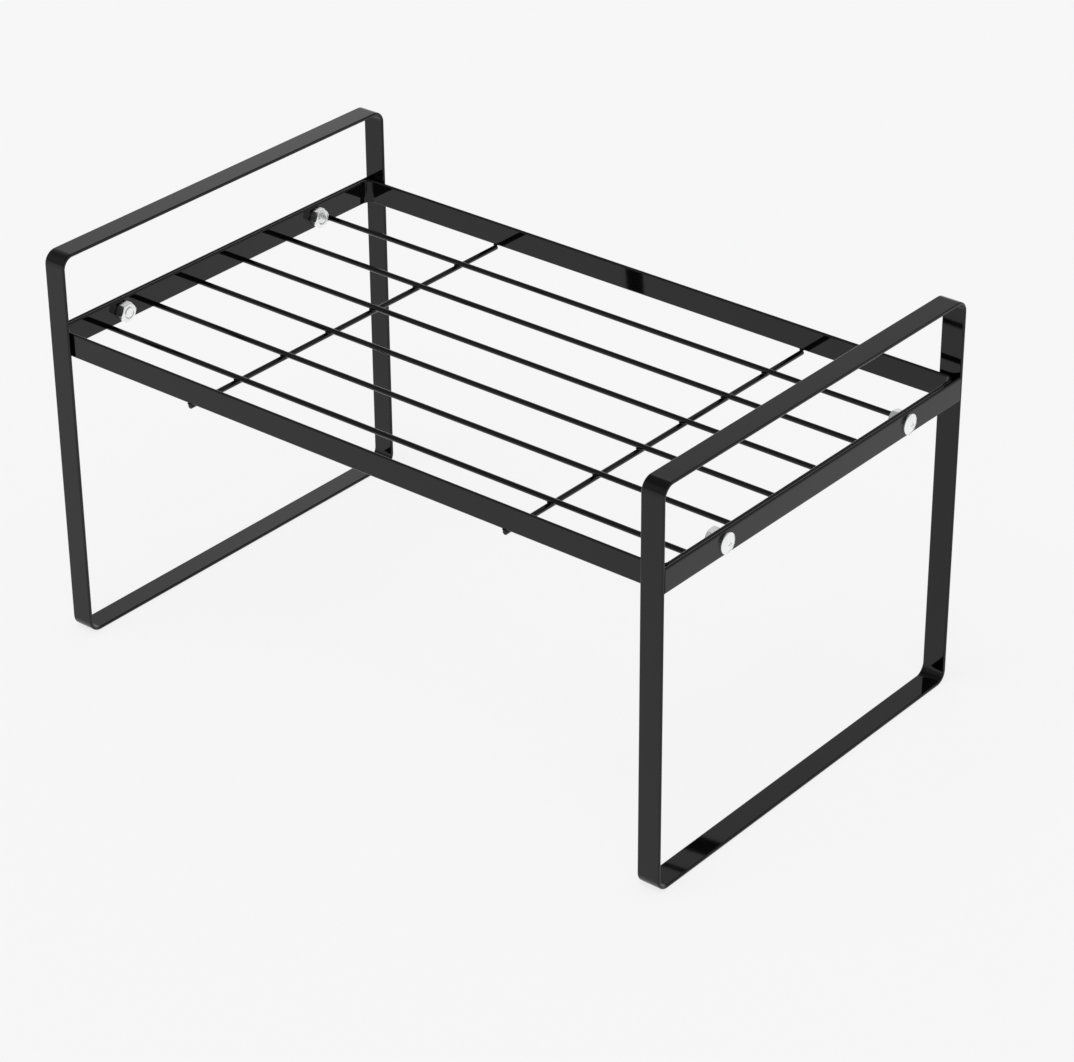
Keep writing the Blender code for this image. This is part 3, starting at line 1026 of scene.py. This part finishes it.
print("head %.1f mm wide, %.1f mm high" % (head_diameter / MM, HEAD_HEIGHT / MM))

# %% [markdown]
# The shank's end shows inside the rack, in the middle of the nut, so it carries a real thread and
# not a bump. It is turned with a relief: a ridge that climbs 0.8 mm in each turn. The end is
# chamfered down to the thread's root, which lets the nut start.

# %% Cut the thread
THREAD_PITCH = 0.8 * MM
THREAD_DEPTH = 0.4 * MM
THREAD_ROWS_PER_TURN = 6
SHANK_SIDES = 32
shank_length = bolt_length - HEAD_HEIGHT


def thread_relief(height, angle):
    """The groove of the thread, which climbs one pitch in each turn, and the chamfer at its end."""
    phase = (height / THREAD_PITCH - angle / math.tau) % 1.0
    groove = THREAD_DEPTH * abs(2 * phase - 1)
    chamfer = THREAD_DEPTH - (height + shank_length)
    return -max(groove, chamfer)


def bolt_mesh(seat):
    """A whole bolt down local Z, with its crossbar side at zero height."""
    count = round(shank_length / THREAD_PITCH * THREAD_ROWS_PER_TURN)
    bm = bmesh.new()
    bm.from_mesh(bolt_head(seat))
    rows = [(-shank_length * row / count, BOLT_RADIUS) for row in range(count + 1)]
    lathe(bm, rows, SHANK_SIDES, relief=thread_relief)
    return finished("bolt", bm)


print("shank %.1f mm long, %.0f turns of thread" % (shank_length / MM, shank_length / THREAD_PITCH))

# %% [markdown]
# ## The nuts
# A hexagon nut is sawn from hexagon bar and turned at both faces, which leaves a cone that cuts
# the corners into curves. So the mesh is a hexagon kept only where a turned double cone is, with
# the bore and its countersinks taken out. The side against the rim has a thin washer face.

# %% Make the nuts
NUT_FACE_DIAMETER = 7.7 * MM
NUT_CHAMFER = math.radians(30)
COUNTERSINK = 0.40 * MM
NUT_SIDES = 72
OVERSHOOT = 1.0 * MM

nut_low, nut_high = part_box("right_front_nut")
nut_height = nut_high.x - nut_low.x
across_flats = nut_high.z - nut_low.z
nut_corner = across_flats / math.sqrt(3)
washer_face = rim_inner_end - nut_high.x


def nut_mesh():
    """A chamfered hexagon nut over local Z, with its washer face on top."""
    half = nut_height / 2
    face = NUT_FACE_DIAMETER / 2
    reach = nut_corner + OVERSHOOT
    drop = (reach - face) * math.tan(NUT_CHAMFER)
    hexagon, cones, bore = bmesh.new(), bmesh.new(), bmesh.new()
    bmesh.ops.create_cone(hexagon, cap_ends=True, segments=6, radius1=nut_corner,
                          radius2=nut_corner, depth=nut_height + 2 * washer_face)
    lathe(cones, [(-half, face), (drop - half, reach), (half - drop, reach), (half, face),
                  (half + washer_face, face)], NUT_SIDES)
    thread = BOLT_RADIUS - HAIRLINE
    mouth = thread + COUNTERSINK
    past = half + OVERSHOOT
    lathe(bore, [(-past, mouth), (-half, mouth), (COUNTERSINK - half, thread),
                 (half - COUNTERSINK, thread), (half, mouth), (past, mouth)], NUT_SIDES)
    return worked("nut", finished("hexagon", hexagon), [
        ("BOOLEAN", {"operation": "INTERSECT", "object": finished("cones", cones)}),
        ("BOOLEAN", {"operation": "DIFFERENCE", "object": finished("bore", bore)}),
        soft_edges])


print("nut: %.1f mm across flats, %.1f mm thick" % (across_flats / MM, nut_height / MM))

# %% [markdown]
# Both are copied to the four places that the frame gives. Each points along the rack: the
# bolts come in from the outside and the nuts sit on them inside the rim. A nut stops turning
# when it is tight, so each one stands at its own angle.

# %% Fit the fasteners
NUT_SPINS = {
    "left_front": math.radians(5), "left_back": math.radians(5),
    "right_front": math.radians(6), "right_back": math.radians(-12)}
seat_gap = bolt_low.x + shank_length - bar_outer_face
whole_bolt = bolt_mesh(-seat_gap)
whole_nut = nut_mesh()


def fit(master, name, node, middle, outward, spin=0.0):
    """A copy of a fastener, spun on its axis and turned to face outward, in place of its node."""
    mesh = master.copy()
    turn = Matrix.Rotation(outward * math.radians(90), 4, "Y") @ Matrix.Rotation(spin, 4, "Z")
    mesh.transform(Matrix.Translation(middle) @ turn)
    return show(name, mesh, chrome_plate, "bright_chrome", node)


for corner, spin in NUT_SPINS.items():
    outward = 1 if corner.startswith("right") else -1
    low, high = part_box(corner + "_bolt")
    middle = (low + high) / 2
    seat = Vector((outward * (bar_outer_face + seat_gap), middle.y, middle.z))
    fit(whole_bolt, corner + "_screw", corner + "_bolt", seat, outward)
    low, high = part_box(corner + "_nut")
    fit(whole_nut, corner + "_hex", corner + "_nut", (low + high) / 2, outward, outward * spin)
print(len(NUT_SPINS), "bolts and as many nuts fitted")
